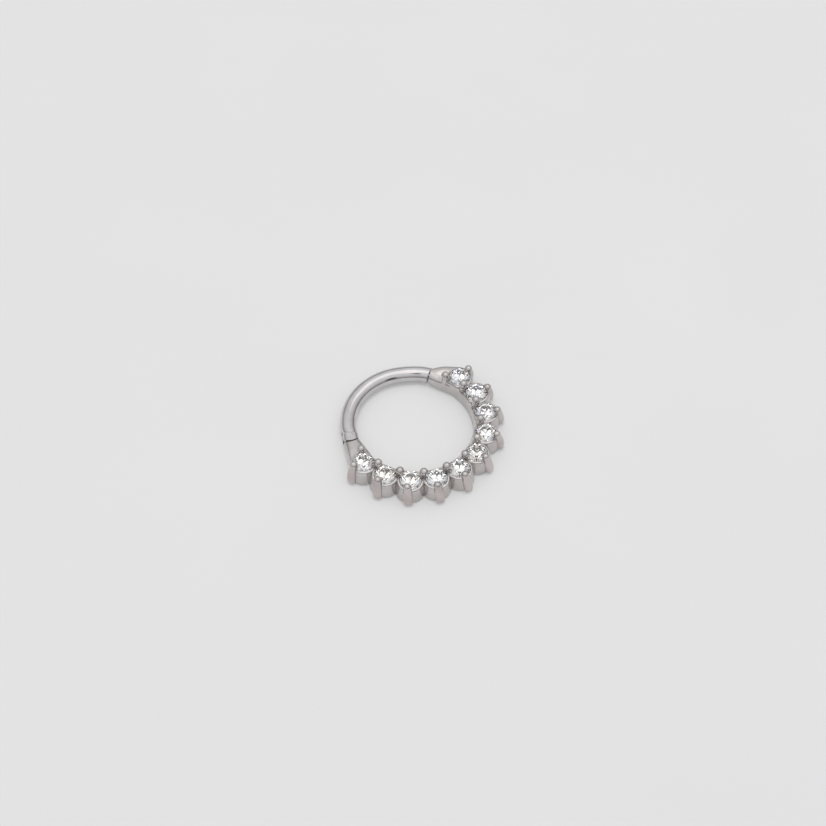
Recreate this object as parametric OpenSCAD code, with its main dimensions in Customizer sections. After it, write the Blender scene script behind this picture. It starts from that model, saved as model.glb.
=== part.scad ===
// Daith ring: a plain round bar, hinged at one end, closes a jewelled arc of ten claw-set stones.
// It lies on its flat back with its axis upright. The bar is towards +Y. Sizes are in millimetres.

/* [Ring] */
// Inner radius of the jewelled arc
inner_r = 4.4; // [4.36:0.01:4.42]
// Diameter of the bar's round wire
wire_d = 1.2; // [1.1:0.05:1.3]
// Radius of the bar's arc, to the middle of the wire
bar_r = 4.6; // [4.56:0.01:4.64]
// How far the centre of the bar's arc lies outside the centre of the ring
bar_shift = 0.52; // [0.5:0.01:0.55]
// Angle from the bar's middle to its cut at the catch
catch_angle = 68; // [67:0.5:69]
// Angle from the bar's middle to the start of its straight end at the hinge
bend_angle = 50; // [48:0.5:52]
// Length of that straight end, up to the hinge pin
straight_len = 0.82; // [0.78:0.01:0.9]

/* [Jewelled arc] */
// Number of stones
stone_count = 10; // [10:1:10]
// Angle from one stone to the next
stone_pitch = 20.65; // [20.6:0.05:20.8]
// Radius of the circle on which the stones sit
stone_circle_r = 5.35; // [5.3:0.05:5.4]
// Height of the setting's rim above the flat back
setting_h = 1.36; // [1.3:0.02:1.44]
// Outer radius of the cup round a stone
cup_r = 1.05; // [1.03:0.01:1.08]

/* [Stones] */
// Diameter of a stone
stone_d = 1.6; // [1.54:0.02:1.62]
// Width of the table as a share of the diameter
table_share = 0.56; // [0.53:0.01:0.6]
// Height of the crown as a share of the diameter
crown_share = 0.16; // [0.14:0.01:0.17]
// Depth of the pavilion as a share of the diameter
pavilion_share = 0.43; // [0.41:0.01:0.44]
// Radius of the open hole behind each stone
back_hole_r = 0.5; // [0.45:0.05:0.55]

/* [Claws] */
// Radius of the circle on which the outer claws stand
claw_circle_r = 6.24; // [6.2:0.01:6.26]
// How far the foot of a claw stands past its stone's middle, towards the hinge, as an angle
claw_turn = 0.3; // [0:0.1:0.6]
// How far a claw leans towards the hinge, as an angle
claw_tilt = 5; // [3:0.5:6]
// Half width of an outer claw at its belly
claw_r = 0.4; // [0.38:0.01:0.42]
// Radius of the round head of an outer claw
claw_head_r = 0.3; // [0.28:0.01:0.32]
// Height of the middle of that head
claw_head_z = 1.68; // [1.64:0.02:1.7]
// Radius of the circle of the inner prongs
prong_circle_r = 4.87; // [4.85:0.01:4.9]
// Radius at which the first prong stands, beside the catch
first_prong_r = 4.63; // [4.61:0.01:4.7]
// How far that prong stands off the middle between two stones, as an angle
first_prong_turn = 1.1; // [0.8:0.1:1.4]
// Radius of an inner prong's ball
prong_ball_r = 0.29; // [0.27:0.01:0.3]
// Height of the middle of that ball
prong_ball_z = 1.74; // [1.7:0.02:1.78]

/* [Hinge and catch] */
// Radius of the bar's rounded knuckle
knuckle_r = 0.63; // [0.61:0.01:0.64]
// Radius of the hinge pin
pin_r = 0.2; // [0.18:0.01:0.22]
// Thickness of the tongue between the two cheeks of the knuckle
tongue_t = 0.4; // [0.36:0.02:0.44]
// Length of the catch post
post_len = 0.45; // [0.4:0.05:0.5]
// Radius of the catch post
post_r = 0.17; // [0.15:0.01:0.18]

/* [Hidden] */
$fn = 48;

steel = [0.78, 0.76, 0.75];
pin_steel = [0.66, 0.66, 0.67];
stone_white = [0.93, 0.95, 0.98];

// Gaps between pieces
joint_gap = 0.05;
pin_gap = 0.02;
slot_gap = 0.03;
seat_gap = 0.03;
socket_gap = 0.06;
// A cut goes this far past the face it goes through
over = 1;
// Thickness of a slice that ends a blended shape
slice = 0.02;

wire_r = wire_d / 2;
stone_r = stone_d / 2;
table_r = table_share * stone_r;
crown_h = crown_share * stone_d;
pavilion_h = pavilion_share * stone_d;
girdle_h = 0.05;
girdle_z = setting_h;
// Radius, as a share of the stone's, at which the main facets of its pavilion meet
low_share = 0.22;
table_z = girdle_z + girdle_h / 2 + crown_h;

// Directions of the stones, clockwise from the catch to the hinge
first_stone = -90 + stone_pitch * (stone_count - 1) / 2;
function stone_dir(k) = first_stone - stone_pitch * (k - 1);

// The origin is under the middle of the whole outline, so the ring's centre lies off it.
reach_back = (claw_circle_r + claw_r) * cos(stone_pitch / 2);
reach_front = bar_shift + bar_r + wire_r;
ring_y = (reach_back - reach_front) / 2;

// Points and directions in the ring's plane, seen from its centre
function polar(r, a) = [r * cos(a), r * sin(a)];
function direction_of(v) = atan2(v[1], v[0]);
bar_centre = [0, bar_shift];
catch_dir = 90 - catch_angle;
bend_dir = 90 + bend_angle;
// Direction of the wire from the bar into the hinge
hinge_way = bend_dir + 90;
catch_point = bar_centre + polar(bar_r, catch_dir);
bend_point = bar_centre + polar(bar_r, bend_dir);
hinge_point = bend_point + polar(straight_len, hinge_way);

// Sides of a large circle, and of a circle in a blended shape
large_fn = 96;
blend_fn = 32;

// Walls of the jewelled arc
rail_outer_r = 5.2;
rail_steps = 6;
edge_bevel = 0.04;
prong_post_r = 0.2;
prong_root_z = 0.9;
// Outline of an outer claw: height, and radius as a share of claw_r
claw_outline = [[-0.1, 0.86], [0.35, 0.97], [0.75, 1], [1.1, 0.96], [1.4, 0.86], [1.68, 0.74]];
claw_lean = 0.04;
// Radius of the collar's wide end, and how far that lies inside the end cup's height
collar_r = 0.95;
collar_inset = 0.03;
// How far the other prongs stand off the middle between two stones, as an angle
prong_turn = -0.8;

// The tongue's round end, and the slot that it moves in
tongue_r = 0.45;
slot_depth = 0.52;
// The tongue goes this far into the collar.
tongue_root = 0.3;
seat_r = knuckle_r + joint_gap;
// The collar starts this far past the pin, a little before the ends of its hollow seat.
collar_start = sqrt(seat_r * seat_r - wire_r * wire_r) - 2 * slice;
slot_low = wire_r - tongue_t / 2 - slot_gap;
slot_high = wire_r + tongue_t / 2 + slot_gap;
pin_inset = 0.04;
// The bar's straight end is thinner than the wire by this step, and starts this far inside it.
end_step = 0.01;
end_root = 0.2;

// The post leans so that it leaves its socket along the bar's swing.
post_offset = 0.08;
post_root = catch_point + polar(post_offset, catch_dir);
post_root_dir = direction_of(post_root - hinge_point) - 90;
post_mid = post_root + polar(post_len / 2, post_root_dir);
post_dir = direction_of(post_mid - hinge_point) - 90;
post_sink = 0.3;

// Moves a shape to the ring's centre.
module at_ring() {
    translate([0, ring_y, 0]) children();
}

// Moves a shape out to radius r in direction a of the ring, with its +X pointing outwards.
module around(r, a) {
    rotate(a) translate([r, 0]) children();
}

// A round rod of radius r and length l, that starts at point p and runs level in direction a.
module level_rod(p, a, r, l) {
    translate([p[0], p[1], wire_r]) rotate([0, 0, a]) rotate([0, 90, 0]) cylinder(r = r, h = l);
}

// The row of cups, joined on the inner side by a rail
module cup_row() {
    start = stone_dir(stone_count);
    span = stone_pitch * (stone_count - 1);
    linear_extrude(setting_h) union() {
        intersection() {
            circle(r = rail_outer_r, $fn = large_fn);
            polygon(concat([[0, 0]], [for (i = [0:rail_steps])
                                      polar(2 * rail_outer_r, start + span * i / rail_steps)]));
        }
        for (k = [1:stone_count]) around(stone_circle_r, stone_dir(k)) circle(r = cup_r);
    }
}

// The hole of the ring, with bevelled edges
module ring_hole() {
    rotate_extrude($fn = large_fn)
        polygon([[0, -over], [inner_r + edge_bevel, -over], [inner_r + edge_bevel, 0],
                 [inner_r, edge_bevel], [inner_r, setting_h - edge_bevel],
                 [inner_r + edge_bevel, setting_h], [inner_r + edge_bevel, setting_h + over],
                 [0, setting_h + over]]);
}

// An outer claw: a column with a belly and a round head
module claw() {
    first = claw_outline[0];
    last = claw_outline[len(claw_outline) - 1];
    rotate([claw_tilt, 0, 0]) {
        rotate_extrude()
            polygon(concat([[0, first[0]]],
                           [for (row = claw_outline) [row[1] * claw_r, row[0]]],
                           [[0, last[0]]]));
        translate([-claw_lean, 0, claw_head_z]) sphere(r = claw_head_r);
    }
}

// An inner prong: a post with a ball on top
module prong() {
    translate([0, 0, prong_root_z]) cylinder(r = prong_post_r, h = prong_ball_z - prong_root_z);
    translate([0, 0, prong_ball_z]) sphere(r = prong_ball_r);
}

// What is cut out of the metal for one stone: its seat, and the hole behind it
module seat_cut() {
    wide = stone_r + seat_gap;
    low = girdle_z - girdle_h / 2 - seat_gap;
    drop = (wide - back_hole_r) * pavilion_h / stone_r;
    top = table_z + seat_gap;
    rotate_extrude() polygon([[0, -over], [back_hole_r, -over], [back_hole_r, low - drop],
                              [wide, low], [wide, girdle_z + girdle_h / 2 + seat_gap],
                              [table_r + seat_gap, top], [table_r + seat_gap, top + over],
                              [0, top + over]]);
}

// A plain collar from the end of the wire to an end cup
module collar(p, a, k) {
    hull() {
        level_rod(p, a, wire_r, slice, $fn = blend_fn);
        around(stone_circle_r, stone_dir(k)) translate([0, 0, collar_inset])
            cylinder(r = collar_r, h = setting_h - 2 * collar_inset, $fn = blend_fn);
    }
}

// The tongue of the hinge, from the collar round the pin
module tongue() {
    translate([hinge_point[0], hinge_point[1], wire_r - tongue_t / 2]) rotate([0, 0, hinge_way]) {
        cylinder(r = tongue_r, h = tongue_t);
        translate([0, -tongue_r, 0]) cube([seat_r + tongue_root, 2 * tongue_r, tongue_t]);
    }
}

// The jewelled arc: one casting of rail, cups, claws, prongs, collars and tongue
module jewelled_arc() {
    below_w = 4 * claw_circle_r;
    color(steel) at_ring() difference() {
        union() {
            difference() {
                union() {
                    difference() {
                        cup_row();
                        ring_hole();
                    }
                    collar(catch_point, catch_dir - 90, 1);
                    collar(hinge_point + polar(collar_start, hinge_way), hinge_way, stone_count);
                }
                translate([hinge_point[0], hinge_point[1], -over])
                    cylinder(r = seat_r, h = setting_h + 2 * over);
            }
            for (k = [1:stone_count]) around(claw_circle_r, stone_dir(k) - claw_turn) claw();
            around(first_prong_r, stone_dir(0.5) - first_prong_turn) prong();
            for (k = [1:stone_count]) around(prong_circle_r, stone_dir(k + 0.5) - prong_turn) prong();
            tongue();
        }
        for (k = [1:stone_count]) around(stone_circle_r, stone_dir(k)) seat_cut();
        translate([0, 0, -over / 2]) cube([below_w, below_w, over], center = true);
        translate([hinge_point[0], hinge_point[1], 0]) cylinder(r = pin_r + pin_gap, h = wire_d);
        level_rod(post_root - polar(post_sink, post_dir), post_dir, post_r + socket_gap,
                  post_len + post_sink + socket_gap);
    }
}

// The plain bar, with its knuckle at the hinge and its post at the catch
module plain_bar() {
    face = joint_gap / bar_r * 180 / PI;
    end_half_w = (knuckle_r + wire_r) / 2;
    end_l = straight_len + over;
    color(steel) at_ring() difference() {
        union() {
            translate([bar_centre[0], bar_centre[1], wire_r]) rotate([0, 0, catch_dir + face])
                rotate_extrude(angle = bend_dir - catch_dir - face, $fn = large_fn)
                translate([bar_r, 0]) circle(r = wire_r);
            intersection() {
                level_rod(bend_point - polar(end_root, hinge_way), hinge_way, wire_r - end_step,
                          end_root + straight_len + knuckle_r);
                translate([hinge_point[0], hinge_point[1], -over]) rotate([0, 0, hinge_way])
                    linear_extrude(wire_d + 2 * over) union() {
                        circle(r = knuckle_r);
                        translate([-end_l, -end_half_w]) square([end_l, 2 * end_half_w]);
                    }
            }
            level_rod(post_root - polar(post_sink, post_dir), post_dir, post_r, post_len + post_sink);
        }
        translate([hinge_point[0], hinge_point[1], slot_low]) rotate([0, 0, hinge_way])
            translate([-slot_depth, -over, 0]) cube([slot_depth + over, 2 * over, slot_high - slot_low]);
        translate([hinge_point[0], hinge_point[1], -over])
            cylinder(r = pin_r + pin_gap, h = wire_d + 2 * over);
    }
}

// The pin that the bar turns on
module hinge_pin() {
    color(pin_steel) at_ring() translate([hinge_point[0], hinge_point[1], pin_inset])
        cylinder(r = pin_r, h = wire_d - 2 * pin_inset);
}

// A round brilliant: table, crown, girdle and pavilion, with its girdle at height 0
module brilliant() {
    half = girdle_h / 2;
    // A main facet spans two of the girdle's sixteen steps.
    step = 360 / 16;
    mid_r = (table_r * cos(step) + stone_r) / 2;
    mid_z = half + crown_h * (stone_r - mid_r * cos(step)) / (stone_r - table_r);
    low_r = low_share * stone_r;
    low_z = -half - (pavilion_h - half) * (1 - low_r * cos(step) / stone_r);
    function at(r, j, z) = [r * cos(step * j), r * sin(step * j), z];
    points = concat(
        [for (i = [0:7]) at(table_r, 2 * i, half + crown_h)],
        [for (i = [0:7]) at(mid_r, 2 * i + 1, mid_z)],
        [for (j = [0:15]) at(stone_r, j, half)],
        [for (j = [0:15]) at(stone_r, j, -half)],
        [for (i = [0:7]) at(low_r, 2 * i + 1, low_z)],
        [[0, 0, -pavilion_h]]);
    function table_at(i) = (i + 8) % 8;
    function mid_at(i) = 8 + (i + 8) % 8;
    function upper_at(j) = 16 + (j + 16) % 16;
    function lower_at(j) = 32 + (j + 16) % 16;
    function low_at(i) = 48 + (i + 8) % 8;
    culet = 56;
    faces = concat(
        [[for (i = [7:-1:0]) table_at(i)]],
        [for (i = [0:7]) [table_at(i), table_at(i + 1), mid_at(i)]],
        [for (i = [0:7]) [table_at(i), mid_at(i), upper_at(2 * i)]],
        [for (i = [0:7]) [table_at(i), upper_at(2 * i), mid_at(i - 1)]],
        [for (i = [0:7]) [mid_at(i), upper_at(2 * i + 1), upper_at(2 * i)]],
        [for (i = [0:7]) [mid_at(i), upper_at(2 * i + 2), upper_at(2 * i + 1)]],
        [for (j = [0:15]) [upper_at(j), upper_at(j + 1), lower_at(j + 1), lower_at(j)]],
        [for (i = [0:7]) [low_at(i), lower_at(2 * i), lower_at(2 * i + 1)]],
        [for (i = [0:7]) [low_at(i), lower_at(2 * i + 1), lower_at(2 * i + 2)]],
        [for (i = [0:7]) [culet, lower_at(2 * i), low_at(i)]],
        [for (i = [0:7]) [culet, low_at(i - 1), lower_at(2 * i)]]);
    polyhedron(points = points, faces = faces);
}

// Stone k in its seat
module stone(k) {
    color(stone_white) at_ring() around(stone_circle_r, stone_dir(k))
        translate([0, 0, girdle_z]) brilliant();
}

jewelled_arc();
plain_bar();
hinge_pin();
for (k = [1:stone_count]) stone(k);
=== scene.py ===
import math

import bpy
import numpy as np
from mathutils import Matrix, Vector


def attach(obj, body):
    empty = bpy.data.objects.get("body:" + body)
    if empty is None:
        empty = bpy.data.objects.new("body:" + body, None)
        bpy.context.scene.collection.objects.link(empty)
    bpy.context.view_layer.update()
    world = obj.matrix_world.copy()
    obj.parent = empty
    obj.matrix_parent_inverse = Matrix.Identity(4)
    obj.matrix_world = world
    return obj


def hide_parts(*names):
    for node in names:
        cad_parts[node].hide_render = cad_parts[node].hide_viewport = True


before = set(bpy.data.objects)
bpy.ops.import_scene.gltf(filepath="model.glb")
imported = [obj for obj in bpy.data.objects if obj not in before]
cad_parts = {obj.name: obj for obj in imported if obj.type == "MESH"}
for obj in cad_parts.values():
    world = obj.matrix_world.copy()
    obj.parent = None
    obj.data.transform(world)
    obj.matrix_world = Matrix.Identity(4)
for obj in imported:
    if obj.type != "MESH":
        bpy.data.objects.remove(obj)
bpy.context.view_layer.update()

# Sizes are in millimetres, seen from the ring's centre, and MM turns them into metres.
MM = 0.001
RING_Y = 0.406239

# The row of stones, which runs clockwise from the catch, the cut of a stone, and the most that
# one is tipped, in radians
STONES = 10
PITCH = math.radians(20.65)
FIRST = math.radians(2.925)
STONE_CIRCLE = 5.35
STONE_R = 0.8
GIRDLE = 0.05
CROWN = 0.256
PAVILION = 0.688
TABLE_R = 0.448
LOWER_R = 0.22 * STONE_R
MOST_TIP = 0.012
STONE_SEED = 7

# The rail, the ring's hole and the stones' seats
INNER_R = 4.4
RAIL_START_R = 4.2
RAIL_R = 5.2
RAIL_TOP = 1.2
RIM_Z = 1.36
SEAT_GAP = 0.022
BACK_HOLE_R = 0.5
BACK_BEVEL = 0.04

# The bar: an arc of round wire with a short straight end at the hinge
WIRE_R = 0.6
BAR_R = 4.6
BAR_SHIFT = 0.52
CATCH_DIR = math.radians(22)
BEND_DIR = math.radians(140)
STRAIGHT = 0.82
HINGE_WAY = BEND_DIR + math.pi / 2

# The joint at the catch: its width, how much wider it is at the hole, and how far both of its
# sides stand outwards
JOINT_GAP = 0.06
JOINT_WEDGE = 0.09
CATCH_OUT = 0.15
CATCH_EASE = math.radians(28)

# The hinge: a knuckle with a slot, the tongue in it, and the pin through both
KNUCKLE_R = 0.61
KNUCKLE_W = 0.61
KNUCKLE_IN = 0.06
KNUCKLE_BACK = 0.06
KNUCKLE_REACH = 0.3
KNUCKLE_SEAT_R = 0.68
SLOT_HALF = 0.23
SLOT_DEPTH = 0.52
TONGUE_HALF = 0.2
TONGUE_R = 0.45
TONGUE_ROOT = 0.3
PIN_R = 0.2
BORE_GAP = 0.004

# The collars' growth in half height and the rise of their middles, from the wire to the cups
COLLAR_GROWTH = 0.065
COLLAR_RISE = 0.08
COLLAR_LAP = 0.04

# How far cutting tools reach down, up and sideways, well past the metal
BELOW, ABOVE, ASIDE = -1, 3, 16

# Rows of a cup: height, radius
CUP = [(0, 1.05), (0.02, 1.085), (0.06, 1.115), (0.12, 1.13), (0.3, 1.115), (0.6, 1.085),
       (0.9, 1.05), (1.12, 1.02), (1.24, 0.995), (1.3, 0.972), (1.335, 0.945), (1.353, 0.915),
       (RIM_Z, 0.882)]
# Rows of the ring's hole, rounded off where it meets the top and the back: height, radius
HOLE = [(BELOW, 4.47), (0, 4.47), (0.015, 4.44), (0.045, 4.412), (0.09, INNER_R),
        (1.08, INNER_R), (1.15, 4.408), (1.22, 4.43), (1.28, 4.46), (1.33, 4.495), (1.37, 4.54),
        (1.4, 4.6), (ABOVE, 4.6)]
# Rows of a claw's post: height, distance from the ring's centre, half its width, half its depth
CLAW = [(0.08, 6.42, 0.16, 0.15), (0.09, 6.425, 0.25, 0.235), (0.12, 6.432, 0.3, 0.285),
        (0.2, 6.445, 0.33, 0.315), (0.3, 6.448, 0.34, 0.325), (0.55, 6.43, 0.35, 0.345),
        (0.85, 6.39, 0.352, 0.34), (1.1, 6.34, 0.345, 0.325), (1.3, 6.29, 0.325, 0.31),
        (1.45, 6.25, 0.3, 0.295), (1.57, 6.208, 0.282, 0.281)]
CLAW_POWER = 3.2
CLAW_LEAN = math.tan(math.radians(5))
CLAW_TURN = math.radians(0.3)
# The bead on a claw: height, distance from the ring's centre, radius
BEAD = (1.68, 6.19, 0.3)
# Rows of an inner prong's post: height, distance from its ball towards the ring's centre, radius
PRONG = [(0.2, 0.25, 0.06), (0.23, 0.25, 0.15), (0.32, 0.245, 0.22), (0.6, 0.22, 0.245),
         (0.95, 0.165, 0.248), (1.25, 0.085, 0.235), (1.42, 0.04, 0.217), (1.5, 0.01, 0.206)]
# The ball on an inner prong: height, radius
BALL = (1.73, 0.32)
PRONG_CIRCLE = 4.87
PRONG_TURN = math.radians(-0.8)
FIRST_PRONG_CIRCLE = 4.63
FIRST_PRONG_TURN = math.radians(1.1)
FIRST_PRONG_SHARE = 0.55
# Rows of the bevel at the bar's catch end: angle past the end, share of the wire's radius
BEVEL = [(0, 0.98), (0.002, 0.995), (0.005, 1)]
# Rows of the knuckle: distance past the pin, share of the change from the wire's section
KNUCKLE = [(-0.26, 0.12), (-0.23, 0.5), (-0.19, 0.85), (-0.15, 1), (0, 1), (0.4, 1), (0.8, 1)]
# Rows of the pin: height, radius
PIN = [(0.012, 0.17), (0.014, 0.195), (0.02, PIN_R), (1.18, PIN_R), (1.187, 0.195), (1.189, 0.17)]
# Rows of the catch post and of its socket: distance along the post, radius
POST = [(0, 0.17), (0.66, 0.17), (0.7, 0.163), (0.73, 0.145), (0.75, 0.11)]
SOCKET = [(0, 0.23), (0.81, 0.23)]
POST_SUNK = 0.3
POST_OUT = 0.08
POST_MIDDLE = 0.225

SHARP_ANGLE = math.radians(32)

# Materials and studio, in metres: the depth of the polishing marks, where the claws' tint starts
# and is full, the photo's view, and the dark gap in the tent that the steel reflects
MARK_DEPTH = 0.00002
TINT_FROM, TINT_FULL = 6.3 * MM, 6.6 * MM
VIEW_WAY = (-0.4433, -0.3780, 0.8128)
VIEW_DISTANCE = 0.150
VIEW_ROLL = math.radians(1.745)
TENT_GAP_WAY = (-0.244, -0.909, 0.336)


# Directions and places in the ring's plane

def polar(r, a):
    return np.array([r * math.cos(a), r * math.sin(a)])


def stone_dir(k):
    """Direction of stone k. k may be halfway between two stones."""
    return FIRST - PITCH * (k - 1)


BAR_CENTRE = np.array([0, BAR_SHIFT])
CATCH = BAR_CENTRE + polar(BAR_R, CATCH_DIR)
BEND = BAR_CENTRE + polar(BAR_R, BEND_DIR)
HINGE = BEND + polar(STRAIGHT, HINGE_WAY)
# Along the straight end towards the hinge, to its left, which is towards the hole, and outwards
WAY = polar(1, HINGE_WAY)
LEFT = polar(1, HINGE_WAY + math.pi / 2)
OUT = polar(1, BEND_DIR)


def swing_way(point):
    """The direction in which the closing bar carries a point."""
    away = point - HINGE
    return math.atan2(away[1], away[0]) - math.pi / 2


POST_ROOT = CATCH + polar(POST_OUT, CATCH_DIR)
POST_WAY = swing_way(POST_ROOT + polar(POST_MIDDLE, swing_way(POST_ROOT)))


# Shapes: each closed solid is (points, faces)

def outward(points, faces):
    """The same solid with all its faces looking out."""
    volume = 0.0
    for f in faces:
        for i in range(1, len(f) - 1):
            volume += np.dot(points[f[0]], np.cross(points[f[i]], points[f[i + 1]]))
    if volume < 0:
        faces = [tuple(reversed(f)) for f in faces]
    return points, faces


def loft(rings, first=None, last=None):
    """A solid through rings of equally many points, with a fan of faces over each end."""
    rings = [np.asarray(r, float) for r in rings]
    n = len(rings[0])
    ends = [rings[0].mean(0) if first is None else np.asarray(first, float),
            rings[-1].mean(0) if last is None else np.asarray(last, float)]
    points = np.vstack(rings + [np.array(ends)])
    faces = []
    for i in range(len(rings) - 1):
        for j in range(n):
            a, b = i * n + j, i * n + (j + 1) % n
            faces.append((a, b, b + n, a + n))
    top = (len(rings) - 1) * n
    for j in range(n):
        faces.append(((j + 1) % n, j, len(points) - 2))
        faces.append((top + j, top + (j + 1) % n, len(points) - 1))
    return outward(points, faces)


def circle(centre, radius, z, sides):
    a = np.arange(sides) * 2 * math.pi / sides
    return np.column_stack([centre[0] + radius * np.cos(a), centre[1] + radius * np.sin(a),
                            np.full(sides, z)])


def turned(centre, rows, sides=96):
    """A solid turned about an upright axis from rows of (height, radius)."""
    return loft([circle(centre, r, z, sides) for z, r in rows],
                (*centre, rows[0][0]), (*centre, rows[-1][0]))


def smooth_rows(rows, steps):
    """Rows joined by a smooth curve (Catmull-Rom) with that many steps between two rows."""
    rows = np.asarray(rows, float)
    padded = np.vstack([2 * rows[0] - rows[1], rows, 2 * rows[-1] - rows[-2]])
    out = []
    for i in range(1, len(padded) - 2):
        p0, p1, p2, p3 = padded[i - 1:i + 3]
        for s in range(steps):
            t = s / steps
            out.append(0.5 * (2 * p1 + (p2 - p0) * t + (2 * p0 - 5 * p1 + 4 * p2 - p3) * t ** 2
                              + (3 * p1 - p0 - 3 * p2 + p3) * t ** 3))
    out.append(padded[-2])
    return np.array(out)


def section(w, h, power, sides):
    """A section of half width w and half height h: power 2 is an ellipse, more is squarer."""
    a = np.arange(sides) * 2 * math.pi / sides
    c, s = np.cos(a), np.sin(a)
    return np.column_stack([w * np.sign(c) * np.abs(c) ** (2 / power),
                            h * np.sign(s) * np.abs(s) ** (2 / power)])


def upright_ring(mid, across, flat, z):
    """A section's points stood upright at mid, with its width along the level direction across."""
    return np.column_stack([mid[0] + flat[:, 0] * across[0], mid[1] + flat[:, 0] * across[1],
                            z + flat[:, 1]])


def prism(outline, low, high):
    outline = np.asarray(outline, float)
    return loft([np.column_stack([outline, np.full(len(outline), z)]) for z in (low, high)])


def rod(start, way, rows, sides=48):
    """A level round rod at the wire's height, from rows of (distance along way, radius)."""
    across = polar(1, way - math.pi / 2)
    return loft([upright_ring(start + polar(1, way) * d, across, section(r, r, 2, sides), WIRE_R)
                 for d, r in rows])


def cap_rows(z, r, start, steps=9):
    """Rows of (height, radius) over a ball, from start, in quarter turns, up to its top."""
    angles = np.linspace(start * math.pi / 2, math.pi / 2 * 0.985, steps)
    return [(z + r * math.sin(a), r * math.cos(a)) for a in angles]


# Solids in Blender

def to_object(name, *solids):
    points, faces, base = [], [], 0
    for p, f in solids:
        points.append(p)
        faces += [tuple(base + i for i in face) for face in f]
        base += len(p)
    points = np.vstack(points)
    points[:, 1] += RING_Y
    mesh = bpy.data.meshes.new(name)
    mesh.from_pydata((points * MM).tolist(), [], faces)
    mesh.update()
    piece = bpy.data.objects.new(name, mesh)
    bpy.context.scene.collection.objects.link(piece)
    return piece


def combine(target, steps):
    """Adds to and cuts from target in order. A step is (operation, list of solids)."""
    tools = []
    for n, (operation, solids) in enumerate(steps):
        tool = to_object(f"tool_{n}", *solids)
        tool.hide_render = True
        tools.append(tool)
        mod = target.modifiers.new(f"step_{n}", "BOOLEAN")
        mod.operation = operation
        mod.solver = "MANIFOLD"
        mod.object = tool
    bpy.context.view_layer.update()
    depsgraph = bpy.context.evaluated_depsgraph_get()
    done = bpy.data.meshes.new_from_object(target.evaluated_get(depsgraph))
    target.modifiers.clear()
    done.materials.clear()
    target.data = done
    for tool in tools:
        bpy.data.objects.remove(tool)


def shade(piece):
    piece.data.polygons.foreach_set("use_smooth", [True] * len(piece.data.polygons))
    piece.data.set_sharp_from_angle(angle=SHARP_ANGLE)
    piece.data.update()


# The jewelled arc

def claw(k):
    """An outer claw: a post with a rounded square section, which turns into a round bead."""
    sides = 48
    a = stone_dir(k) - CLAW_TURN
    along = polar(1, a - math.pi / 2)
    rows = [(*r, CLAW_POWER + (2 - CLAW_POWER) * min(1, max(0, r[0] / CLAW[-1][0])))
            for r in smooth_rows(CLAW, 3)]
    bead_z, bead_dist, bead_r = BEAD
    rows += [(z, bead_dist, r, r, 2) for z, r in cap_rows(bead_z, bead_r, -0.17)]
    rings = []
    for z, dist, w, h, power in rows:
        at = polar(dist, a) + along * z * CLAW_LEAN
        flat = section(w, h, power, sides)
        ring = at + flat[:, :1] * along + flat[:, 1:] * polar(1, a)
        rings.append(np.column_stack([ring, np.full(sides, z)]))
    return loft(rings)


def prong(dist, a, share=1.0):
    """An inner prong: a post under a ball. share says how far the post stands inward."""
    rows = [tuple(r) for r in smooth_rows(PRONG, 3)]
    rows += [(z, 0, r) for z, r in cap_rows(*BALL, -0.5)]
    rings, middles = [], []
    for z, inward, r in rows:
        at = polar(dist - inward * share, a)
        rings.append(circle(at, r, z, 40))
        middles.append((*at, z))
    return loft(rings, middles[0], middles[-1])


def rail():
    """The rail that joins the cups: a level band from the hole out to under the cups."""
    steps = 150
    corners = ((RAIL_START_R, 0), (RAIL_R, 0), (RAIL_R, RAIL_TOP), (RAIL_START_R, RAIL_TOP))
    rings = []
    for i in range(steps + 1):
        a = stone_dir(STONES) + (stone_dir(1) - stone_dir(STONES)) * i / steps
        rings.append([(*polar(r, a), z) for r, z in corners])
    return loft(rings)


def tangent_point(start, centre, r, side):
    """Where a line from start touches a circle, on its left (1) or right (-1) side."""
    away = start - centre
    turn = math.acos(r / np.linalg.norm(away))
    return centre + polar(r, math.atan2(away[1], away[0]) + side * turn)


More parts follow.
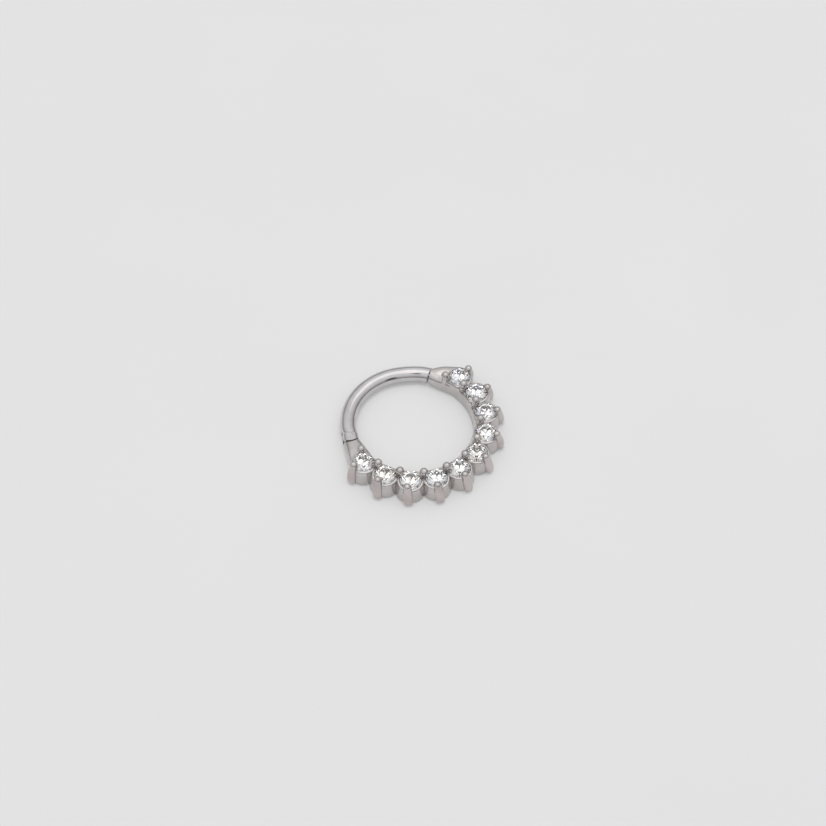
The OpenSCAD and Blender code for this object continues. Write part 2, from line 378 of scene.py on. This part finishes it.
def collar(start, way, k, side, outer_r, inner_r, square, bulge=0, lean=0):
    """
    A plain collar from the round end of the wire to cup k. side is 1 where its outer edge is on
    the left. outer_r and inner_r say how far from the cup's middle its edges touch, square how
    flat its faces get, bulge how much the outer edge swells, and lean how much its top tips
    towards the hole.
    """
    sides, steps = 72, 26
    close_steps, close_turn, close_in = 8, math.radians(5), 0.13
    centre = polar(STONE_CIRCLE, stone_dir(k))
    left = polar(1, way + math.pi / 2)
    rings = []

    def add_ring(outer, inner, ease, power, tip):
        mid, half = (outer + inner) / 2, np.linalg.norm(outer - inner) / 2
        flat = section(half, WIRE_R + COLLAR_GROWTH * ease, power, sides)
        flat[:, 1] += flat[:, 0] * tip
        rings.append(upright_ring(mid, (outer - inner) / (2 * half), flat,
                                  WIRE_R + COLLAR_RISE * ease))

    edges = []
    for s, r in ((side, outer_r), (-side, inner_r)):
        begin = start + left * s * WIRE_R
        edges.append((begin, tangent_point(begin, centre, r, -s)))
    for i in range(steps + 1):
        t = i / steps
        outer, inner = (e[0] + (e[1] - e[0]) * t for e in edges)
        outer = outer + left * side * bulge * math.sin(math.pi * t ** 0.7) ** 2
        ease = t * t * (3 - 2 * t)
        power = 2 + square * (1 - (1 - t) ** 3 if bulge else ease)
        add_ring(outer, inner, ease, power, lean * min(1, 3 * t))
    # The outer edge then closes in round the cup.
    touch = math.atan2(*(outer - centre)[::-1])
    for i in range(1, close_steps + 1):
        r = outer_r - close_in * (i / close_steps) ** 2
        outer = centre + polar(r, touch - side * i * close_turn)
        if np.dot(outer - inner, edges[0][1] - edges[1][1]) > 0:
            add_ring(outer, inner, 1, 2 + square, lean)
    return loft(rings)


def tongue():
    turn = np.linspace(0, math.pi, 40)
    outline = [HINGE + polar(TONGUE_R, HINGE_WAY + math.pi / 2 + a) for a in turn]
    outline += [HINGE + WAY * (KNUCKLE_SEAT_R + TONGUE_ROOT) + LEFT * s * TONGUE_R for s in (-1, 1)]
    return prism(outline, WIRE_R - TONGUE_HALF, WIRE_R + TONGUE_HALF)


def seat(k):
    """What is cut out for stone k: the hole behind it, its seat, and room for its crown."""
    wide, table = STONE_R + SEAT_GAP, TABLE_R + SEAT_GAP
    low = RIM_Z - GIRDLE / 2 - SEAT_GAP
    drop = (wide - BACK_HOLE_R) * PAVILION / STONE_R
    top = RIM_Z + GIRDLE / 2 + CROWN + SEAT_GAP
    rows = [(BELOW, BACK_HOLE_R + BACK_BEVEL), (0, BACK_HOLE_R + BACK_BEVEL),
            (BACK_BEVEL, BACK_HOLE_R), (low - drop, BACK_HOLE_R), (low, wide),
            (RIM_Z + GIRDLE / 2, wide), (top, table), (top + 1, table)]
    return turned(polar(STONE_CIRCLE, stone_dir(k)), rows)


def pin_bore():
    r = PIN_R + BORE_GAP
    return turned(HINGE, [(BELOW, r), (ABOVE, r)], 64)


def post_rod(rows):
    """A rod along the catch post. Its rows count from POST_SUNK inside the bar."""
    return rod(POST_ROOT - polar(POST_SUNK, POST_WAY), POST_WAY, rows)


def build_arc():
    arc = to_object("arc_metal", rail())
    cups = [turned(polar(STONE_CIRCLE, stone_dir(k)), CUP) for k in range(1, STONES + 1)]
    catch_collar = collar(CATCH + polar(CATCH_OUT, CATCH_DIR), CATCH_DIR - math.pi / 2, 1, 1,
                          outer_r=1.08, inner_r=0.965, square=2.2, bulge=0.05, lean=0.13)
    reach = math.sqrt(KNUCKLE_SEAT_R ** 2 - (WIRE_R + KNUCKLE_IN) ** 2) - COLLAR_LAP
    hinge_collar = collar(HINGE + polar(reach, HINGE_WAY) - polar(KNUCKLE_IN, BEND_DIR),
                          HINGE_WAY, STONES, -1, outer_r=0.965, inner_r=0.965, square=2.6)
    first_prong = prong(FIRST_PRONG_CIRCLE, stone_dir(0.5) - FIRST_PRONG_TURN, FIRST_PRONG_SHARE)
    prongs = [prong(PRONG_CIRCLE, stone_dir(k + 0.5) - PRONG_TURN) for k in range(1, STONES + 1)]
    floor_box = [(-ASIDE, -ASIDE), (ASIDE, -ASIDE), (ASIDE, ASIDE), (-ASIDE, ASIDE)]
    combine(arc, [
        # The cups touch their neighbours, so every other one is added at a time.
        ("UNION", cups[::2]),
        ("UNION", cups[1::2]),
        ("DIFFERENCE", [turned((0, 0), HOLE, 240)]),
        ("UNION", [catch_collar, hinge_collar]),
        ("DIFFERENCE", [turned(HINGE, [(BELOW, KNUCKLE_SEAT_R), (ABOVE, KNUCKLE_SEAT_R)])]),
        ("UNION", [claw(k) for k in range(1, STONES + 1)]),
        ("UNION", [first_prong] + prongs),
        ("UNION", [tongue()]),
        ("DIFFERENCE", [seat(k) for k in range(1, STONES + 1)]),
        ("DIFFERENCE", [prism(floor_box, 2 * BELOW, 0)]),
        ("DIFFERENCE", [pin_bore()]),
        ("DIFFERENCE", [post_rod(SOCKET)]),
    ])
    shade(arc)
    return arc


# The bar, its pin and the stones

def bar_reach(a):
    """The radius of the bar's arc, which grows a little towards the catch."""
    t = max(0, 1 - (a - CATCH_DIR) / CATCH_EASE)
    return BAR_R + CATCH_OUT * t * t * (3 - 2 * t)


def bar_wire():
    """The wire from a fine bevel at the catch, round the arc and along the straight end."""
    sides = 80
    wire = section(WIRE_R, WIRE_R, 2, sides)
    first = CATCH_DIR + JOINT_GAP / BAR_R
    rings = []
    for turn, share in BEVEL:
        a = first + turn
        ring = upright_ring(BAR_CENTRE + polar(bar_reach(a), a), polar(1, a), wire * share, WIRE_R)
        # The cut opens a little towards the hole.
        inward = (1 - wire[:, 0] / WIRE_R) / 2
        ring[:, :2] += np.outer(inward * JOINT_WEDGE, polar(1, a + math.pi / 2))
        rings.append(ring)
    for a in np.linspace(first + 0.03, BEND_DIR, 140):
        rings.append(upright_ring(BAR_CENTRE + polar(bar_reach(a), a), polar(1, a), wire, WIRE_R))
    straight_end = STRAIGHT - KNUCKLE_REACH
    for d in np.linspace(0.05, straight_end, 10):
        rings.append(upright_ring(BEND + WAY * d - OUT * KNUCKLE_IN * d / straight_end, OUT, wire,
                                  WIRE_R))
    # The knuckle is a little wider and flatter than the wire.
    for d, ease in KNUCKLE:
        flat = section(WIRE_R + (KNUCKLE_W - WIRE_R) * ease, WIRE_R, 2 + 0.5 * ease, sides)
        rings.append(upright_ring(HINGE + WAY * d - OUT * KNUCKLE_IN, OUT, flat, WIRE_R))
    return loft(rings)


def bar_room():
    """
    All that the bar may fill, up to the knuckle's round end, which is a little fuller beside the
    hole and a little shorter in its middle.
    """
    low, high, aside, back = -0.5, 1.7, 9, 20
    outline = []
    for a in np.linspace(-math.pi / 2, math.pi / 2, 60):
        r = KNUCKLE_R - KNUCKLE_BACK * math.cos(a) ** 2 + KNUCKLE_IN * max(0, math.sin(a)) ** 6
        outline.append(HINGE + polar(r, HINGE_WAY + a))
    outline += [HINGE + LEFT * aside - WAY * d for d in (0, back)]
    outline += [HINGE - LEFT * aside - WAY * d for d in (back, 0)]
    return prism(outline, low, high)


def build_bar():
    bar = to_object("bar_metal", bar_wire())
    slot = [HINGE - WAY * SLOT_DEPTH + LEFT, HINGE - WAY * SLOT_DEPTH - LEFT,
            HINGE + WAY - LEFT, HINGE + WAY + LEFT]
    combine(bar, [
        ("INTERSECT", [bar_room()]),
        ("UNION", [post_rod(POST)]),
        ("DIFFERENCE", [prism(slot, WIRE_R - SLOT_HALF, WIRE_R + SLOT_HALF)]),
        ("DIFFERENCE", [pin_bore()]),
    ])
    shade(bar)
    return bar


def build_pin():
    pin = to_object("pin_metal", turned(HINGE, PIN, 64))
    shade(pin)
    return pin


def brilliant():
    """Points and facets of a round brilliant with its girdle at height 0."""
    step, half = math.pi / 8, GIRDLE / 2
    mid_r = (TABLE_R * math.cos(step) + STONE_R) / 2
    mid_z = half + CROWN * (STONE_R - mid_r * math.cos(step)) / (STONE_R - TABLE_R)
    lower_z = -half - (PAVILION - half) * (1 - LOWER_R * math.cos(step) / STONE_R)

    def ring(r, z, first, by, count):
        turns = [step * (first + by * i) for i in range(count)]
        return [(r * math.cos(a), r * math.sin(a), z) for a in turns]

    points = (ring(TABLE_R, half + CROWN, 0, 2, 8) + ring(mid_r, mid_z, 1, 2, 8)
              + ring(STONE_R, half, 0, 1, 16) + ring(STONE_R, -half, 0, 1, 16)
              + ring(LOWER_R, lower_z, 1, 2, 8) + [(0, 0, -PAVILION)])
    # Where the rings under the table start in the list of points, and the tip
    mid, top, bottom, lower, tip = 8, 16, 32, 48, 56
    faces = [tuple(range(8))]
    for i in range(8):
        after, before = (i + 1) % 8, (i - 1) % 8
        a, b, c = (top + (2 * i + n) % 16 for n in range(3))
        d, e, f = (bottom + (2 * i + n) % 16 for n in range(3))
        faces += [(i, mid + i, after), (i, mid + before, a, mid + i),
                  (mid + i, a, b), (mid + i, b, c), (a, d, e, b), (b, e, f, c),
                  (lower + i, e, d), (lower + i, f, e), (tip, lower + i, d, lower + before)]
    return np.array(points), faces


def build_stones():
    """The stones, each turned and tipped a little in its own way, with a value on each facet that
    picks the facet's painted glint tint.
    """
    points, faces = brilliant()
    stones = []
    rng = np.random.default_rng(STONE_SEED)
    for k in range(1, STONES + 1):
        a = stone_dir(k) + rng.uniform(0, math.pi / 4)
        tip = rng.uniform(-MOST_TIP, MOST_TIP, 2)
        turn = (Matrix.Rotation(a, 3, "Z") @ Matrix.Rotation(tip[0], 3, "X")
                @ Matrix.Rotation(tip[1], 3, "Y"))
        placed = points @ np.array(turn).T
        placed += (*polar(STONE_CIRCLE, stone_dir(k)), RIM_Z)
        stone = to_object(f"gem_{k}", outward(placed, faces))
        facet = stone.data.attributes.new("facet", "FLOAT_COLOR", "CORNER")
        for poly in stone.data.polygons:
            value = rng.uniform(0, 1, 3)
            for loop in poly.loop_indices:
                facet.data[loop].color = (*value, 1)
        stones.append(stone)
    return stones


# Materials

def new_material(name):
    mat = bpy.data.materials.new(name)
    mat.use_nodes = True
    nodes, links = mat.node_tree.nodes, mat.node_tree.links
    nodes.clear()
    out = nodes.new("ShaderNodeOutputMaterial")
    shader = nodes.new("ShaderNodeBsdfPrincipled")
    links.new(shader.outputs[0], out.inputs["Surface"])
    return mat, nodes, links, shader


def noise(nodes, links, where, scale, detail=3, stretch=None):
    """A noise texture, with the scale given in features per metre."""
    if stretch is not None:
        mapping = nodes.new("ShaderNodeMapping")
        mapping.inputs["Scale"].default_value = stretch
        links.new(where, mapping.inputs["Vector"])
        where = mapping.outputs["Vector"]
    tex = nodes.new("ShaderNodeTexNoise")
    tex.inputs["Scale"].default_value = scale
    tex.inputs["Detail"].default_value = detail
    links.new(where, tex.inputs["Vector"])
    return tex.outputs["Fac"]


def ramp(nodes, links, value, stops):
    node = nodes.new("ShaderNodeValToRGB")
    links.new(value, node.inputs["Fac"])
    elements = node.color_ramp.elements
    elements[0].position, elements[0].color = stops[0][0], (*stops[0][1], 1)
    elements[1].position, elements[1].color = stops[-1][0], (*stops[-1][1], 1)
    for at, colour in stops[1:-1]:
        elements.new(at).color = (*colour, 1)
    return node.outputs["Color"]


def spread(nodes, links, value, low, high):
    """Turns a value from 0 to 1 into one from low to high."""
    node = nodes.new("ShaderNodeMapRange")
    node.inputs["To Min"].default_value = low
    node.inputs["To Max"].default_value = high
    links.new(value, node.inputs["Value"])
    return node.outputs["Result"]


def outer_tint(nodes, links, where, colour, tint):
    """Multiplies a colour by a tint on what stands outside the cups, which is the claws."""
    away = nodes.new("ShaderNodeVectorMath")
    away.operation = "MULTIPLY_ADD"
    away.inputs[1].default_value = (1, 1, 0)
    away.inputs[2].default_value = (0, -RING_Y * MM, 0)
    links.new(where, away.inputs[0])
    length = nodes.new("ShaderNodeVectorMath")
    length.operation = "LENGTH"
    links.new(away.outputs[0], length.inputs[0])
    share = nodes.new("ShaderNodeMapRange")
    share.interpolation_type = "SMOOTHSTEP"
    share.inputs["From Min"].default_value = TINT_FROM
    share.inputs["From Max"].default_value = TINT_FULL
    links.new(length.outputs["Value"], share.inputs["Value"])
    mix = nodes.new("ShaderNodeMix")
    mix.data_type = "RGBA"
    mix.blend_type = "MULTIPLY"
    links.new(share.outputs["Result"], mix.inputs["Factor"])
    links.new(colour, mix.inputs[6])
    mix.inputs[7].default_value = (*tint, 1)
    return mix.outputs[2]


def steel(name, dark, light, rough, scratch, tint=None):
    """Polished steel: cloudy tone, uneven gloss and fine polishing marks."""
    mat, nodes, links, shader = new_material(name)
    where = nodes.new("ShaderNodeTexCoord").outputs["Object"]
    tone = ramp(nodes, links, noise(nodes, links, where, 900), [(0.35, dark), (0.65, light)])
    if tint is not None:
        tone = outer_tint(nodes, links, where, tone, tint)
    links.new(tone, shader.inputs["Base Color"])
    shader.inputs["Metallic"].default_value = 1
    grain = noise(nodes, links, where, 2500, 4)
    links.new(spread(nodes, links, grain, *rough), shader.inputs["Roughness"])
    bump = nodes.new("ShaderNodeBump")
    bump.inputs["Strength"].default_value = scratch
    bump.inputs["Distance"].default_value = MARK_DEPTH
    marks = noise(nodes, links, where, 3000, 2, (1, 1, 0.15))
    links.new(marks, bump.inputs["Height"])
    links.new(bump.outputs["Normal"], shader.inputs["Normal"])
    return mat


def gem():
    """Clear cut stone, each facet faintly tinted bluish to warm at random: painted coloured glints
    that stand in for the stone's fire.
    """
    mat, nodes, links, shader = new_material("cut_stone")
    facet = nodes.new("ShaderNodeAttribute")
    facet.attribute_name = "facet"
    value = nodes.new("ShaderNodeSeparateColor")
    links.new(facet.outputs["Color"], value.inputs["Color"])
    # Bluish, white and warm tints, one per facet: painted coloured glints in place of fire.
    tone = ramp(nodes, links, value.outputs["Red"],
                [(0.0, (0.8, 0.83, 1.0)), (0.3, (1, 0.995, 0.99)), (0.7, (1, 0.995, 0.985)),
                 (1.0, (1.0, 0.9, 0.76))])
    links.new(tone, shader.inputs["Base Color"])
    shader.inputs["Roughness"].default_value = 0.0
    shader.inputs["IOR"].default_value = 2.5
    shader.inputs["Transmission Weight"].default_value = 1.0
    return mat


def floor_material():
    mat, nodes, links, shader = new_material("pale_floor")
    where = nodes.new("ShaderNodeTexCoord").outputs["Object"]
    tone = ramp(nodes, links, noise(nodes, links, where, 60, 2),
                [(0.3, (0.515, 0.515, 0.515)), (0.7, (0.525, 0.525, 0.525))])
    links.new(tone, shader.inputs["Base Color"])
    shader.inputs["Roughness"].default_value = 0.9
    # The sheet is lit a little from below, which keeps the shadow round the ring soft.
    shader.inputs["Emission Color"].default_value = (1, 1, 1, 1)
    shader.inputs["Emission Strength"].default_value = 0.22
    return mat


# The studio, in metres

def aim(thing, place, at, roll=0.0):
    """Puts a light or camera at place, looking at a point, and rolls it about its view."""
    way = (Vector(at) - Vector(place)).normalized()
    turn = way.to_track_quat("-Z", "Y").to_matrix().to_4x4()
    thing.matrix_world = Matrix.Translation(Vector(place)) @ turn @ Matrix.Rotation(roll, 4, "Z")


def add_camera():
    data = bpy.data.cameras.new("camera")
    camera = bpy.data.objects.new("camera", data)
    bpy.context.scene.collection.objects.link(camera)
    data.sensor_width = 36
    data.lens = 87.25
    data.shift_x = -0.00195
    data.shift_y = 0.02278
    data.clip_start = 0.005
    data.clip_end = 20
    centre = Vector((0, RING_Y * MM, 0))
    place = centre + Vector(VIEW_WAY).normalized() * VIEW_DISTANCE
    aim(camera, place, centre, VIEW_ROLL)
    bpy.context.scene.camera = camera


def add_panel(name, place, size, power, colour=(1, 1, 1)):
    """A square-cornered light that looks at the ring."""
    data = bpy.data.lights.new(name, "AREA")
    data.shape = "RECTANGLE"
    data.size, data.size_y = size
    data.energy = power
    data.color = colour
    light = bpy.data.objects.new(name, data)
    bpy.context.scene.collection.objects.link(light)
    aim(light, place, (0, 0, 0))
    return light


def spot(nodes, links, where, way, inner, outer, least):
    """
    1 away from a direction, and least near it. It changes softly between two angles from it,
    inner and outer, in degrees.
    """
    dot = nodes.new("ShaderNodeVectorMath")
    dot.operation = "DOT_PRODUCT"
    dot.inputs[1].default_value = Vector(way).normalized()
    links.new(where, dot.inputs[0])
    node = nodes.new("ShaderNodeMapRange")
    node.interpolation_type = "SMOOTHSTEP"
    node.inputs["From Min"].default_value = math.cos(math.radians(outer))
    node.inputs["From Max"].default_value = math.cos(math.radians(inner))
    node.inputs["To Min"].default_value = 1
    node.inputs["To Max"].default_value = least
    links.new(dot.outputs["Value"], node.inputs["Value"])
    return node.outputs["Result"]


def add_world():
    """A soft tent: grey walls, paler overhead, with a dark lens and a dark gap in them."""
    world = bpy.data.worlds.new("studio")
    bpy.context.scene.world = world
    world.use_nodes = True
    nodes, links = world.node_tree.nodes, world.node_tree.links
    nodes.clear()
    out = nodes.new("ShaderNodeOutputWorld")
    back = nodes.new("ShaderNodeBackground")
    links.new(back.outputs[0], out.inputs["Surface"])
    where = nodes.new("ShaderNodeTexCoord").outputs["Generated"]
    split = nodes.new("ShaderNodeSeparateXYZ")
    links.new(where, split.inputs["Vector"])
    tone = ramp(nodes, links, split.outputs["Z"],
                [(0.0, (0.42, 0.38, 0.39)), (0.1, (0.35, 0.31, 0.32)), (0.3, (0.52, 0.51, 0.52)),
                 (0.6, (0.78, 0.785, 0.80)), (1.0, (0.98, 0.98, 0.98))])
    both = nodes.new("ShaderNodeMath")
    both.operation = "MULTIPLY"
    links.new(spot(nodes, links, where, VIEW_WAY, 3.5, 8, 0.08), both.inputs[0])
    links.new(spot(nodes, links, where, TENT_GAP_WAY, 5, 13, 0.05), both.inputs[1])
    level = nodes.new("ShaderNodeVectorMath")
    level.operation = "SCALE"
    links.new(tone, level.inputs[0])
    links.new(both.outputs[0], level.inputs["Scale"])
    links.new(level.outputs["Vector"], back.inputs["Color"])
    back.inputs["Strength"].default_value = 1.0


def add_floor():
    half, drop = 1.5, 0.00001
    mesh = bpy.data.meshes.new("floor")
    mesh.from_pydata([(-half, -half, 0), (half, -half, 0), (half, half, 0), (-half, half, 0)],
                     [], [(0, 1, 2, 3)])
    floor = bpy.data.objects.new("floor", mesh)
    floor.location.z = -drop
    bpy.context.scene.collection.objects.link(floor)
    mesh.materials.append(floor_material())


def add_panels():
    add_panel("panel_top", (0.066, -0.005, 0.3), (0.19, 0.26), 0.064, (1, 0.93, 0.88))
    # A narrow strip that only the top of the collar at the catch reflects towards the camera
    add_panel("panel_strip", (0.06, 0.16, 0.3), (0.09, 0.05), 0.012, (1, 0.95, 0.92))
    # A small lamp overhead that lights the floor and the stones but leaves no highlight on metal
    add_panel("panel_fill", (0.01, 0.01, 0.3), (0.08, 0.08), 0.2).visible_glossy = False
    # A wide panel that is only seen through the stones, where it lifts the bright facets
    sparkle = add_panel("panel_sparkle", (-0.04, 0.06, 0.28), (0.2, 0.2), 0.15)
    sparkle.visible_glossy = False
    sparkle.visible_diffuse = False


# The scene

bpy.context.scene.view_settings.view_transform = "Standard"
add_camera()
add_floor()
add_world()
add_panels()

arc_steel = steel("setting_steel", (0.53, 0.505, 0.495), (0.63, 0.61, 0.60), (0.10, 0.24), 0.25,
                  (1.0, 0.942, 0.938))
bar_steel = steel("bar_steel", (0.585, 0.57, 0.575), (0.655, 0.64, 0.645), (0.035, 0.10), 0.06)
pin_steel = steel("pin_steel", (0.58, 0.57, 0.57), (0.65, 0.64, 0.64), (0.08, 0.18), 0.1)
clear = gem()

arc = build_arc()
arc.data.materials.append(arc_steel)
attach(arc, "setting")
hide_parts("jewelled_arc")

bar = build_bar()
bar.data.materials.append(bar_steel)
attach(bar, "bar")
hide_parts("plain_bar")

pin = build_pin()
pin.data.materials.append(pin_steel)
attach(pin, "setting")
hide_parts("hinge_pin")

for k, stone in enumerate(build_stones(), 1):
    stone.data.materials.append(clear)
    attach(stone, "setting")
    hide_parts(f"stone_{k}")
